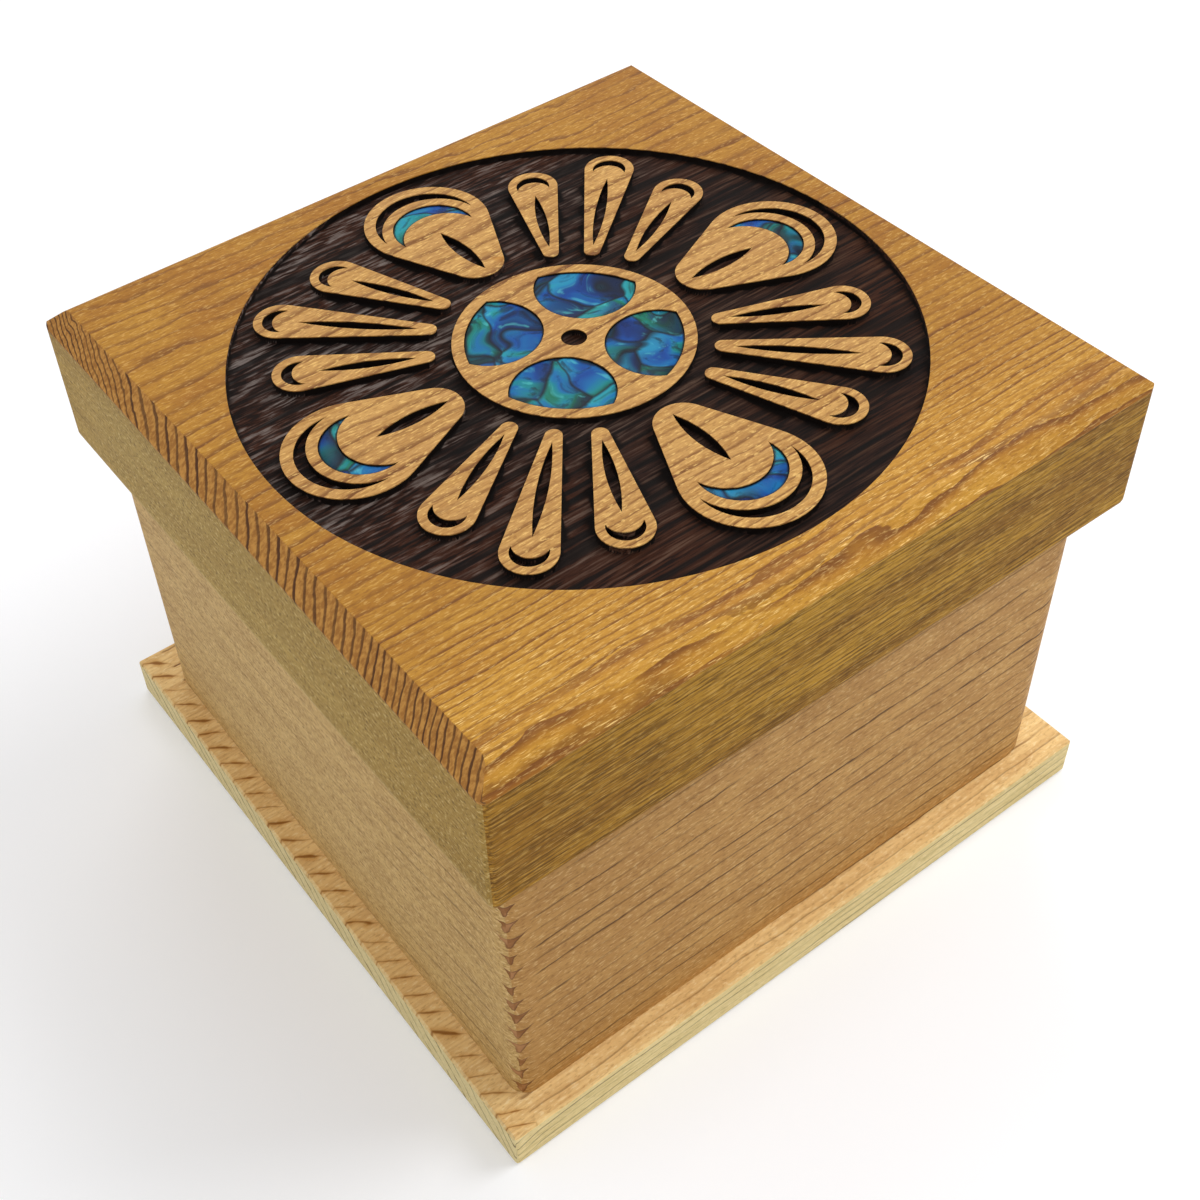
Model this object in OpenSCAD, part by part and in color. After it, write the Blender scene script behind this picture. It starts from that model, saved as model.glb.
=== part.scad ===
// Bentwood box: a plank kerfed and bent round three corners, closed at the fourth,
// on an overhanging base, under a lid with a bent rim and a carved and inlaid top board.
// Millimetres. +Z is up, the origin is the middle of the underside.
// The closed corner of the plank and of the rim is the one at -X, -Y.

/* [Lid] */
// Outer width of the lid, which is square
lid_w = 140; // [110:1:200]
// Height of the bent rim under the top board
rim_h = 26; // [16:0.5:45]
// Thickness of the bent rim
rim_t = 3.5; // [2.5:0.1:5]
// Outer radius of the lid's bent corners, rim and top board alike
rim_corner_r = 2.2; // [1.5:0.1:6]
// Outer radius of the lid's closed corner
rim_joint_r = 1.5; // [0.8:0.1:3]
// Width of the top board's bevel, seen from above
bevel_w = 4; // [1.5:0.1:8]
// Drop of the top board's bevel
bevel_drop = 3.6; // [1.5:0.1:8]
// Upright edge left under the bevel
bevel_land = 0.4; // [0.2:0.1:3]
// Depth of the step under the top board that fits inside the rim
lid_step_h = 3.8; // [2:0.1:8]
// Gap all round between the rim and the walls
lid_clear = 0.5; // [0.3:0.05:1.2]
// Gap between the lid's step and the top edge of the walls
seat_gap = 0.3; // [0.2:0.05:0.6]

/* [Walls] */
// Height of the plank
wall_h = 90; // [60:1:140]
// Thickness of the plank
wall_t = 6.4; // [4.8:0.1:10]
// Outer radius of the plank's bent corners
wall_corner_r = 8; // [3:0.1:12]
// Outer radius of the plank's closed corner
wall_joint_r = 3.5; // [1.5:0.1:6]
// Wood left uncut behind each kerf, for the plank
wall_web = 2; // [1:0.1:3]
// Wood left uncut behind each kerf, for the rim
rim_web = 1.4; // [0.8:0.1:2.2]
// Width of a kerf once the corner is bent shut
kerf_gap = 0.3; // [0.15:0.05:0.6]
// Width of the glue line at a closed corner
glue_gap = 0.12; // [0.1:0.02:0.3]

/* [Base] */
// How far the base stands out past the walls
base_overhang = 5.5; // [2:0.5:15]
// Thickness of the base under the walls
base_t = 9.5; // [6:0.5:16]
// Height of the base's step inside the walls
base_step_h = 3.2; // [1.5:0.1:6]
// Small bevel on the base's edges
base_ease = 0.5; // [0.3:0.1:2]
// Radius of the base's upright corners
base_corner_r = 0.8; // [0.5:0.1:4]
// Gap round a step where it fits inside its walls
fit_clear = 0.15; // [0.1:0.05:0.4]

/* [Pegs] */
// Diameter of a peg
peg_d = 3.2; // [2:0.1:4]
// How far a peg enters the plank
peg_bite = 14; // [6:0.5:25]
// Distance between the two pegs of a side
peg_pitch = 66; // [30:1:90]
// Gap round a peg in its hole
peg_clear = 0.1; // [0.05:0.05:0.2]

/* [Medallion] */
// Flat border between the medallion and the bevel
medallion_border = 5; // [2:0.5:12]
// Depth to which the ground of the medallion is cut
relief_depth = 1.4; // [0.6:0.1:2.4]
// Width of a raised line
line_w = 2.2; // [1.6:0.1:2.8]
// Clear ground between the raised forms and round them
ground_w = 3; // [1.5:0.1:4]
// Radius of the wheel in the middle
wheel_r = 21.5; // [19:0.5:23]
// Solid wood between the middle of the wheel and each shell petal
wheel_core = 5.4; // [4.6:0.1:6]
// Narrowest width of the wheel's spokes
spoke_w = 2.2; // [1.4:0.1:3]
// Radius of the hollow in the middle of the wheel
hub_r = 2.3; // [1:0.1:3]
// Radius of the broad end of a U form
u_end_r = 12; // [10.5:0.1:13]
// Radius of the root of a U form
u_root_r = 5.2; // [4.5:0.1:6.5]
// Widest part of the crescent cut in a U form
u_cut_w = 2.4; // [1.6:0.1:3]
// Widest part of the split in a U form
u_split_w = 2.8; // [1.6:0.1:3.4]
// Wood between the crescent cut in a U form and its crescent of shell
bead_border = 2; // [1.4:0.1:2.8]
// Widest part of a crescent of shell
crescent_w = 3.8; // [2.6:0.1:4.6]
// Radius of a feather's tip
feather_r = 4.8; // [4:0.1:5.2]
// Radius of a feather's root
feather_root_r = 1.5; // [1:0.1:2]
// Width of the raised line round a feather's tip
feather_line_w = 1.6; // [1.1:0.1:2]
// Widest part of the crescent cut in a feather
feather_cut_w = 1.9; // [1.2:0.1:2.4]
// Widest part of the split in a feather
feather_split_w = 2; // [1.2:0.1:2.6]
// Angle between one feather of a fan and the next
feather_turn = 17; // [15.5:0.5:19]
// How much shorter the outer feathers of a fan are
feather_drop = 5; // [0:0.5:8]

/* [Shell] */
// Thickness of the shell
shell_t = 2; // [1:0.1:3]
// How far the shell lies below the wood round it
shell_sink = 0.15; // [0:0.05:0.4]
// Glue line round a piece of shell
shell_clear = 0.12; // [0.05:0.01:0.25]

/* [Hidden] */
$fn = 64;
over = 1;
QUARTERS = [0, 90, 180, 270];
BENT_CORNERS = [45, 135, 315];
CLOSED_CORNER = 225;

// Widths of the squares, from the lid inwards
rim_in_w = lid_w - 2 * rim_t;
wall_w = rim_in_w - 2 * lid_clear;
wall_in_w = wall_w - 2 * wall_t;
base_w = wall_w + 2 * base_overhang;

// Heights, from the table up
wall_top = base_t + wall_h;
lid_step_z = wall_top + seat_gap;
rim_top = lid_step_z + lid_step_h;
rim_z = rim_top - rim_h;
board_edge_t = bevel_drop + bevel_land;
top_z = rim_top + board_edge_t;

// Medallion, from its rim inwards
medallion_r = lid_w / 2 - bevel_w - medallion_border;
field_r = wheel_r - line_w;
petal_x = (2 * wheel_core - spoke_w) / (2 - sqrt(2));
petal_r = petal_x - wheel_core;
u_root_x = wheel_r + ground_w + u_root_r;
u_end_x = medallion_r - ground_w - u_end_r;
bead_x = u_end_x - u_cut_w;
bead_r = u_end_r - line_w;
crescent_r = bead_r - bead_border;
feather_x = wheel_r + ground_w + feather_root_r;
feather_long = medallion_r - ground_w - feather_r - feather_x;

// What lies outside a corner of radius r, the corner being at the origin
module corner_waste(r) {
    translate([-r, -r]) difference() {
        square(r + over);
        circle(r);
    }
}

// Square of width w, with one radius at the bent corners and one at the closed corner
module bent_outline(w, bent_r, joint_r) {
    difference() {
        square(w, center = true);
        for (turn = BENT_CORNERS)
            rotate(turn - 45) translate([w / 2, w / 2]) corner_waste(bent_r);
        rotate(CLOSED_CORNER - 45) translate([w / 2, w / 2]) corner_waste(joint_r);
    }
}

// Plan of a strip bent round three corners: kerfs closed on the inside, ends met at the fourth corner
module bent_strip(w, t, bent_r, joint_r, web) {
    inner_corner = (w / 2 - t) * sqrt(2);
    kerf_end = (w / 2 - bent_r) * sqrt(2) + bent_r - web;
    difference() {
        bent_outline(w, bent_r, joint_r);
        square(w - 2 * t, center = true);
        for (turn = BENT_CORNERS)
            rotate(turn) translate([inner_corner - over, -kerf_gap / 2])
                square([kerf_end - inner_corner + over, kerf_gap]);
        rotate(CLOSED_CORNER) translate([inner_corner - over, -glue_gap / 2])
            square([t * 2, glue_gap]);
    }
}

// Square board whose edges are bevelled above and below
module bevelled_board(w, t, top_in, top_drop, low_in, low_rise) {
    edge = [
        [-w / 2 + low_in, 0], [w / 2 - low_in, 0], [w / 2, low_rise], [w / 2, t - top_drop],
        [w / 2 - top_in, t], [-w / 2 + top_in, t], [-w / 2, t - top_drop], [-w / 2, low_rise]
    ];
    intersection_for (turn = [0, 90])
        rotate([0, 0, turn]) rotate([90, 0, 0])
            linear_extrude(w + 2 * over, center = true) polygon(edge);
}

// Upright prism with a square plan and round corners
module rounded_block(w, h, r) {
    linear_extrude(h) bent_outline(w, r, r);
}

// Copies of a child at the pegs' places, two on the middle line of each wall
module at_pegs() {
    for (turn = QUARTERS, side = [-1, 1])
        rotate(turn) translate([(wall_w - wall_t) / 2, side * peg_pitch / 2]) children();
}

// Points of an arc about the origin, six degrees apart
function arc(r, from, to) =
    let (steps = ceil(abs(to - from) / 6))
    [for (i = [0:steps]) let (turn = from + (to - from) * i / steps) r * [cos(turn), sin(turn)]];

// Tongue along X: an arc of radius r1 round the origin, one of radius r2 at d, and the tangents between
module tongue(r1, r2, d) {
    turn = acos((r1 - r2) / d);
    polygon(concat(arc(r1, turn, 360 - turn), [for (p = arc(r2, -turn, turn)) p + [d, 0]]));
}

// Leaf along X from the origin, pointed at both ends
module leaf(long, wide) {
    bow = (long * long + wide * wide) / (4 * wide);
    intersection_for (side = [-1, 1])
        translate([long / 2, side * (bow - wide / 2)]) circle(bow, $fn = 180);
}

// Crescent of radius r and greatest width w round the origin, its horns turned to -X, drawn in by gap
module crescent(r, w, gap) {
    difference() {
        circle(r - gap);
        translate([-w, 0]) circle(r + gap);
    }
}

// U form along X: broad end outwards, with a crescent cut round its bead and a split in its root
module u_form() {
    split_x = wheel_r + ground_w + line_w;
    difference() {
        translate([u_root_x, 0]) tongue(u_root_r, u_end_r, u_end_x - u_root_x);
        translate([u_end_x, 0]) crescent(bead_r, u_cut_w, 0);
        translate([split_x, 0]) leaf(bead_x - line_w - split_x, u_split_w);
    }
}

// Crescent of shell in the bead of the U form along X
module bead_crescent(gap) {
    translate([bead_x, 0]) crescent(crescent_r, crescent_w, gap);
}

// Petal of shell between two spokes of the wheel, on the diagonal
module wheel_petal(gap) {
    intersection() {
        circle(field_r - gap);
        rotate(45) translate([petal_x, 0]) circle(petal_r - gap);
    }
}

// Feather along X: a tongue with a crescent cut in its tip and a split behind it
module feather(long) {
    tip_r = feather_r - feather_line_w;
    translate([feather_x, 0]) difference() {
        tongue(feather_root_r, feather_r, long);
        translate([long, 0]) crescent(tip_r, feather_cut_w, 0);
        translate([feather_line_w, 0]) leaf(long - tip_r / 2 - 2 * feather_line_w, feather_split_w);
    }
}

// Everything that stands up to the lid's surface inside the medallion
module raised_plan() {
    difference() {
        circle(wheel_r);
        circle(hub_r);
    }
    for (turn = QUARTERS)
        rotate(turn) {
            u_form();
            rotate(45) feather(feather_long);
            for (side = [-1, 1])
                rotate(45 + side * feather_turn) feather(feather_long - feather_drop);
        }
}

module side_plank() {
    color("burlywood") difference() {
        translate([0, 0, base_t]) linear_extrude(wall_h)
            bent_strip(wall_w, wall_t, wall_corner_r, wall_joint_r, wall_web);
        at_pegs() cylinder(d = peg_d + 2 * peg_clear, h = base_t + peg_bite + peg_clear);
    }
}

module base_board() {
    color("navajowhite") difference() {
        union() {
            intersection() {
                bevelled_board(base_w, base_t, base_ease, base_ease, base_ease, base_ease);
                rounded_block(base_w, base_t, base_corner_r);
            }
            translate([0, 0, base_t - over])
                linear_extrude(over + base_step_h) square(wall_in_w - 2 * fit_clear, center = true);
        }
        at_pegs() translate([0, 0, -over])
            cylinder(d = peg_d + 2 * peg_clear, h = base_t + 2 * over);
    }
}

module base_pegs() {
    color("saddlebrown") at_pegs() cylinder(d = peg_d, h = base_t + peg_bite);
}

module lid_rim() {
    color("darkkhaki") translate([0, 0, rim_z]) linear_extrude(rim_h)
        bent_strip(lid_w, rim_t, rim_corner_r, rim_joint_r, rim_web);
}

module lid_board() {
    pocket = shell_t + shell_sink;
    color("peru") difference() {
        union() {
            translate([0, 0, rim_top]) intersection() {
                bevelled_board(lid_w, board_edge_t, bevel_w, bevel_drop, 0, 0);
                linear_extrude(board_edge_t) bent_outline(lid_w, rim_corner_r, rim_joint_r);
            }
            translate([0, 0, lid_step_z])
                linear_extrude(lid_step_h + over) square(rim_in_w - 2 * fit_clear, center = true);
        }
        translate([0, 0, top_z - relief_depth]) linear_extrude(relief_depth + over)
            difference() {
                circle(medallion_r, $fn = 128);
                raised_plan();
            }
        for (turn = QUARTERS)
            rotate(turn) translate([0, 0, top_z - pocket]) linear_extrude(pocket + over) {
                wheel_petal(0);
                bead_crescent(0);
            }
    }
}

module shell_petal(turn) {
    color("steelblue") rotate(turn) translate([0, 0, top_z - shell_sink - shell_t])
        linear_extrude(shell_t) wheel_petal(shell_clear);
}

module shell_crescent(turn) {
    color("mediumaquamarine") rotate(turn) translate([0, 0, top_z - shell_sink - shell_t])
        linear_extrude(shell_t) bead_crescent(shell_clear);
}

side_plank();
base_board();
base_pegs();
lid_rim();
lid_board();
for (i = [1:4])
    shell_petal(QUARTERS[i - 1]);
for (i = [1:4])
    shell_crescent(QUARTERS[i - 1]);
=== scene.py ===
# %% [markdown]
# A bentwood box is a cedar plank that is notched, steamed and folded round three corners,
# closed at the fourth and set on a base board, under a lid with a bent rim of its own.
# The solids of its pieces come in as a fixed frame, in metres, with +Z up.
# This lesson gives each of them its worked edges, its grain and its finish.

# %% The frame
import math
import bmesh
import bpy
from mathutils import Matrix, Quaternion, Vector, kdtree


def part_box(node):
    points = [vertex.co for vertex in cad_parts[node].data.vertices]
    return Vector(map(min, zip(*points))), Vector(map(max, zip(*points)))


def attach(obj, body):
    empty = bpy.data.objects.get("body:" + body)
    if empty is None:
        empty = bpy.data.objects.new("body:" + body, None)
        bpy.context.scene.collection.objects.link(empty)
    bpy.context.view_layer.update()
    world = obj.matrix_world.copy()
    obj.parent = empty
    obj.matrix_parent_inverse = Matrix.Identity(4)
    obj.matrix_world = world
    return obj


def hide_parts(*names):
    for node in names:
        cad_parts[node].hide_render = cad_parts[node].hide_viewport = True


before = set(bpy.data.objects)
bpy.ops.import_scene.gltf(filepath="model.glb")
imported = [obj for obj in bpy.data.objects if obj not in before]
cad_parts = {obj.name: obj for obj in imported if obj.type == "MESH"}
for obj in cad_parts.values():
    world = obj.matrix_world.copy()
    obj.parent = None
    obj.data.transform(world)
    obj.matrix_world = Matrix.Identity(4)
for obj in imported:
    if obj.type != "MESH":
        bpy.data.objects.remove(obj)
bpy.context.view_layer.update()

MM = 0.001
MARGIN = 1 * MM
plank_low, plank_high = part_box("side_plank")
base_low, base_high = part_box("base_board")
rim_low, rim_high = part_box("lid_rim")
board_low, board_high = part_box("lid_board")

# %% [markdown]
# The camera looks down on the closed corner from the front left, with a slight roll, as a hand
# would hold it. A direction is given by its azimuth and elevation, which the lights use as well.
# The picture is cut from one side of a wider view, so the lens is shifted off its axis.

# %% Camera
CAMERA_AT = Vector((-141.6, -192.4, 294.2)) * MM
CAMERA_AZIMUTH = -33.19
CAMERA_ELEVATION = 45.22
CAMERA_ROLL = -4.22
CAMERA_LENS = 51.58
CAMERA_SHIFT = (0.071, -0.0343)


def towards(azimuth, elevation):
    """The direction from the box to something at that azimuth and elevation, in degrees."""
    a = math.radians(azimuth)
    e = math.radians(elevation)
    return Vector((math.sin(a) * math.cos(e), -math.cos(a) * math.cos(e), math.sin(e)))


def facing(back, roll=0.0):
    """The turn of a camera or lamp that looks against the direction back."""
    return (-back).to_track_quat("-Z", "Y") @ Quaternion((0, 0, 1), math.radians(roll))


def linked(name, data):
    """A new object in the scene."""
    made = bpy.data.objects.new(name, data)
    bpy.context.scene.collection.objects.link(made)
    return made


camera = linked("camera", bpy.data.cameras.new("camera"))
camera.data.lens = CAMERA_LENS
camera.data.shift_x, camera.data.shift_y = CAMERA_SHIFT
camera.data.clip_start = 10 * MM
camera.location = CAMERA_AT
camera.rotation_mode = "QUATERNION"
camera.rotation_quaternion = facing(towards(CAMERA_AZIMUTH, CAMERA_ELEVATION), CAMERA_ROLL)
bpy.context.scene.camera = camera
print("camera at", [round(c, 3) for c in camera.location])

# %% [markdown]
# Node trees are long to write by hand, so one small class stands for a wire that leaves a node.
# Python's operators on a wire add Math nodes, and one method adds any other node: first its
# settings, then its sockets. The same class serves materials and Geometry Nodes.


# %% Wires
class Wire:
    """An output socket of a node tree, on which sums are written as on a number."""

    def __init__(self, tree, socket=None):
        self.tree = tree
        self.socket = socket

    def node(self, kind, inputs=None, out=0, stops=None, **settings):
        """Adds a node, with its settings first and its sockets' values or wires next."""
        made = self.tree.nodes.new(kind)
        for name, value in settings.items():
            setattr(made, name, value)
        for i, (place, colour) in enumerate(stops or []):
            ramp = made.color_ramp.elements
            stop = ramp[i] if i < 2 else ramp.new(place)
            stop.position = place
            stop.color = colour
        for key, value in (inputs or {}).items():
            if isinstance(value, Wire):
                self.tree.links.new(value.socket, made.inputs[key])
            else:
                made.inputs[key].default_value = value
        return Wire(self.tree, made.outputs[out] if made.outputs else None)

    def math(self, operation, *values):
        return self.node("ShaderNodeMath", dict(enumerate(values)), operation=operation)

    def __add__(self, other):
        return self.math("ADD", self, other)

    def __sub__(self, other):
        return self.math("SUBTRACT", self, other)

    def __rsub__(self, other):
        return self.math("SUBTRACT", other, self)

    def __mul__(self, other):
        return self.math("MULTIPLY", self, other)

    def __truediv__(self, other):
        return self.math("DIVIDE", self, other)

    def __rtruediv__(self, other):
        return self.math("DIVIDE", other, self)

    def __abs__(self):
        return self.math("ABSOLUTE", self)

    __radd__ = __add__
    __rmul__ = __mul__

    def most(self, other):
        return self.math("MAXIMUM", self, other)

    def least(self, other):
        return self.math("MINIMUM", self, other)

    def step(self, low, high):
        """0 below low, 1 above high and a smooth climb between them; low may be the larger."""
        ends = {0: self, 1: low, 2: high, 3: 0.0, 4: 1.0}
        return self.node("ShaderNodeMapRange", ends, interpolation_type="SMOOTHSTEP")

    def mix(self, low, high):
        """The colour low where this wire is 0, and high where it is 1."""
        return self.node("ShaderNodeMix", {0: self, 6: low, 7: high}, 2, data_type="RGBA")

    def split(self):
        """The three numbers of a vector."""
        return [self.node("ShaderNodeSeparateXYZ", {0: self}, i) for i in range(3)]

    def vector(self, x, y, z):
        return self.node("ShaderNodeCombineXYZ", {0: x, 1: y, 2: z})


def paint(red, green, blue):
    """A colour in the 0 to 255 of a picture, as the linear values that nodes take."""
    steps = [c / 255 for c in (red, green, blue)]
    return (*[((c + 0.055) / 1.055) ** 2.4 if c > 0.04 else c / 12.92 for c in steps], 1.0)


print("half grey is", round(paint(128, 128, 128)[0], 3), "to a node")

# %% [markdown]
# The box stands on white paper under a large soft light from the right, so that its shadow falls to
# the left. A weaker lamp behind it puts a sheen on the satin top, and a third one near the camera
# lifts the left wall. The paper and the sky glow white for the camera and for reflections alone,
# and that glow puts no more light on the wood. Far from the box the paper fades to the sky's
# white, as a sweep of paper does, so that no horizon shows from low down.

# %% Light and floor
WHITE = (1.0, 1.0, 1.0, 1.0)
SKY_LIGHT = 0.62
PAPER_GLOW = 0.22
PAPER = paint(231, 232, 235)
PAPER_SIZE = 6.0
PAPER_GAP = 0.2 * MM
PAPER_FADE = (0.3, 1.1)


def softbox(name, azimuth, elevation, distance, size, watts):
    """A square area lamp that looks at the middle of the box."""
    lamp = bpy.data.lights.new(name, "AREA")
    lamp.shape = "SQUARE"
    lamp.size = size
    lamp.energy = watts
    made = linked(name, lamp)
    back = towards(azimuth, elevation)
    made.location = back * distance
    made.rotation_mode = "QUATERNION"
    made.rotation_quaternion = facing(back)


def seen_ray(kit):
    """1 for a ray from the camera or from a mirror or glass, and 0 for a ray that lights."""
    path = [kit.node("ShaderNodeLightPath", out=o) for o in
            ("Is Camera Ray", "Is Glossy Ray", "Is Transmission Ray")]
    return path[0].most(path[1]).most(path[2])


softbox("key", azimuth=72, elevation=52, distance=1.1, size=0.6, watts=5.6)
softbox("sheen", azimuth=150, elevation=55, distance=1.2, size=0.5, watts=2.0)
softbox("fill", azimuth=-60, elevation=32, distance=1.3, size=0.9, watts=2.4)

world = bpy.data.worlds.new("sky")
world.use_nodes = True
world.node_tree.nodes.clear()
sky = Wire(world.node_tree)
brightness = seen_ray(sky) * (1.0 - SKY_LIGHT) + SKY_LIGHT
backdrop = sky.node("ShaderNodeBackground", {0: WHITE, 1: brightness})
sky.node("ShaderNodeOutputWorld", {0: backdrop})
bpy.context.scene.world = world

paper = bpy.data.materials.new("white_paper")
paper.use_nodes = True
paper.node_tree.nodes.clear()
kit = Wire(paper.node_tree)
matt = kit.node("ShaderNodeBsdfDiffuse", {0: PAPER})
glow = kit.node("ShaderNodeEmission", {0: WHITE, 1: seen_ray(kit) * PAPER_GLOW})
both = kit.node("ShaderNodeAddShader", {0: matt, 1: glow})
x, y, z = kit.node("ShaderNodeTexCoord", out="Object").split()
far = kit.math("SQRT", x * x + y * y).step(*PAPER_FADE)
white = kit.node("ShaderNodeEmission", {0: WHITE, 1: 1.0})
sweep = kit.node("ShaderNodeMixShader", {0: far * seen_ray(kit), 1: both, 2: white})
kit.node("ShaderNodeOutputMaterial", {0: sweep})

sheet = bmesh.new()
bmesh.ops.create_grid(sheet, x_segments=1, y_segments=1, size=PAPER_SIZE)
bmesh.ops.translate(sheet, verts=sheet.verts, vec=(0, 0, -PAPER_GAP))
floor = linked("floor", bpy.data.meshes.new("floor"))
sheet.to_mesh(floor.data)
sheet.free()
floor.data.materials.append(paper)
bpy.context.scene.view_settings.view_transform = "Standard"
print("three soft lamps, white sky and paper")

# %% [markdown]
# Cedar shows the tree it was cut from: pale soft wood that grows in spring, a thin dark line of
# dense wood each autumn, and fibres along the trunk. Painting lines on every face would not join
# up at the edges, so each board gets a ring count that is defined all through the wood, and
# every cut, bevel and hollow then shows the right figure by itself. These helpers draw the
# fibres and the lines from a count and from coordinates along and across the grain.


# %% Grain helpers
def fibres(grain, length, width, detail=3.0, seed=0.0):
    """Noise drawn out along the grain, from 0 to 1; length and width are those of a fibre."""
    along, across, through = grain
    at = along.vector(along / length, across / width, through / width)
    sockets = {"Vector": at, "W": seed, "Scale": 1.0, "Detail": detail, "Roughness": 0.55}
    return along.node("ShaderNodeTexNoise", sockets, noise_dimensions="4D")


def ring_line(ring, start, full, late_edge=0.96):
    """The dark autumn line of each ring: a climb from start to full, then a sharp end."""
    part = ring.math("FRACT", ring)
    return part.step(start, full) * part.step(1.0, late_edge)


def ring_chance(ring, seed):
    """A number from 0 to 1 that is the same all through one ring."""
    year = ring.math("FLOOR", ring) + seed
    return ring.node("ShaderNodeTexWhiteNoise", {"W": year}, noise_dimensions="1D")


def shimmer(grain, length, width, seed):
    """Short fibres: masks for painted highlights where they would catch the light and for painted shade
    where they would lie in it, and their height.
    """
    short = fibres(grain, length, width, seed=seed)
    return short.step(0.54, 0.65), short.step(0.46, 0.35), short


def skin(colour, roughness, height, depth, constants):
    """A shader of that colour and roughness, with fine relief of that depth in metres."""
    normal = colour.node("ShaderNodeBump", {"Strength": 1.0, "Distance": depth, "Height": height})
    sockets = {"Base Color": colour, "Roughness": roughness, "Normal": normal}
    return colour.node("ShaderNodeBsdfPrincipled", {**sockets, **constants})


def surface(name, build):
    """A material of that name, from the shader that build makes."""
    made = bpy.data.materials.new(name)
    made.use_nodes = True
    made.node_tree.nodes.clear()
    kit = Wire(made.node_tree)
    kit.node("ShaderNodeOutputMaterial", {0: build(kit)})
    print("material", name, "with", len(made.node_tree.nodes), "nodes")
    return made


print("helpers for fibres, rings and skins")

# %% [markdown]
# The solids arrive as loose triangles. A copy is welded, and its flat faces are made whole again,
# so that its edges can be eased the way a sanding block eases them: a narrow rounding that
# catches the light. Weighted normals then keep the big faces flat beside those roundings.

# %% Worked edges
WELD = 0.001 * MM
FLAT = math.radians(0.3)
STEEP = math.radians(30)
ROUND_STEPS = 3


def welded(node):
    """A merged copy of a solid's mesh, with each flat face whole."""
    shape = bmesh.new()
    shape.from_mesh(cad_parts[node].data)
    bmesh.ops.remove_doubles(shape, verts=shape.verts, dist=WELD)
    bmesh.ops.dissolve_limit(shape, angle_limit=FLAT, verts=shape.verts, edges=shape.edges)
    shape.normal_update()
    return shape


def ease(shape, width, wanted):
    """Rounds the steep outward edges for which wanted(edge) is true."""
    steep = [e for e in shape.edges if e.is_convex and e.calc_face_angle(0) > STEEP and wanted(e)]
    bmesh.ops.bevel(shape, geom=steep, offset=width, segments=ROUND_STEPS, profile=0.5,
                    affect="EDGES", clamp_overlap=True)
    shape.normal_update()
    print("eased", len(steep), "edges by", round(width / MM, 2), "mm")


def finished(shape, name, material):
    """Turns the worked shape into an object with its material and smooth roundings."""
    piece = linked(name, bpy.data.meshes.new(name))
    shape.to_mesh(piece.data)
    shape.free()
    piece.data.shade_smooth()
    piece.data.set_sharp_from_angle(angle=STEEP)
    piece.data.materials.append(material)
    piece.modifiers.new("flat_faces", "WEIGHTED_NORMAL").keep_sharp = True
    return piece


def dressed(piece, node, body):
    """Puts a finished piece in place of its solid."""
    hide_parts(node)
    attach(piece, body)
    print(piece.name, "stands for", node, "with", len(piece.data.polygons), "faces")


print("edges steeper than", round(math.degrees(STEEP)), "degrees are eased")

# %% [markdown]
# A bent strip has two ends, which are glued together at the corner nearest the camera. The solids
# leave a hair of space there, and it would show as a black slit. So the two end faces are taken
# away and their outlines are welded. The upper and lower faces run from end to end and would
# turn into rings, which a mesh can't hold, so they are first cut across at the opposite corner,
# from the kerf to the outside.

# %% Glued corner
GLUE_REACH = 0.15 * MM
KERF_REACH = 0.5 * MM
WEB_REACH = 0.8 * MM
# How nearly the normal of a face has to follow an axis, and how far it may lean when it stands across.
SQUARE = 0.999
LEAN = 0.01


def outwards(vert):
    """How far a vertex lies towards the corner across from the glued one."""
    return vert.co.x + vert.co.y


def parted(shape, ends):
    """Cuts each level face that runs from end to end, at the corner across from the ends."""
    tips = {v for f in ends for v in f.verts}
    cuts = 0
    for face in [f for f in shape.faces if abs(f.normal.z) > SQUARE]:
        sides = {v.co.x > v.co.y for v in face.verts if v in tips}
        if len(sides) == 2:
            outer = max(face.verts, key=outwards)
            web = outwards(outer) - WEB_REACH
            middle = [v for v in face.verts if abs(v.co.x - v.co.y) < KERF_REACH]
            kerf = [v for v in middle if outwards(v) < web]
            bmesh.utils.face_split(face, outer, max(kerf, key=outwards))
            cuts += 1
    return cuts


def glued(shape):
    """Shuts the open ends of a bent strip at the corner of -X and -Y, as the glue does."""
    ends = []
    for face in shape.faces:
        x, y = face.calc_center_median().xy
        across = abs(face.normal.x + face.normal.y) < LEAN and abs(face.normal.z) < LEAN
        if x < 0 and abs(x - y) < GLUE_REACH and across:
            ends.append(face)
    cuts = parted(shape, ends)
    verts = {v for f in ends for v in f.verts}
    bmesh.ops.delete(shape, geom=ends, context="FACES_ONLY")
    bmesh.ops.remove_doubles(shape, verts=list(verts), dist=2 * GLUE_REACH)
    shape.normal_update()
    print("glue line shut between", len(ends), "ends, after", cuts, "cuts")


print("ends whose x and y differ by less than", GLUE_REACH, "m are glued")

# %% [markdown]
# The walls are one plank, with its grain running round the box. A strip coordinate unrolls it: it
# starts at the closed corner and grows along each wall in turn, so the figure passes the bends
# without a break. The rings lie nearly level, and show as thin lines about four millimetres apart.
# They are faint on the last wall, and grow stronger and climb where it comes back to that corner.

# %% Side plank
PLANK_HALF = plank_high.x
PLANK_LENGTH = 8 * PLANK_HALF


def strip(x, y, half):
    """Along a bent strip from its closed corner, depth into the wood, and 1 on its last face."""
    front = x.math("LESS_THAN", x + y, 0.0)
    right = x.math("GREATER_THAN", x - y, 0.0)
    near = right * (x + half) + (1.0 - right) * (7.0 * half - y)
    far = right * (3.0 * half + y) + (1.0 - right) * (5.0 * half - x)
    along = front * near + (1.0 - front) * far
    depth = half - abs(x).most(abs(y))
    return along, depth.most(0.0), along.step(5.0 * half, 6.5 * half)


print("plank of", round(PLANK_LENGTH, 3), "m, unrolled")

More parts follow.
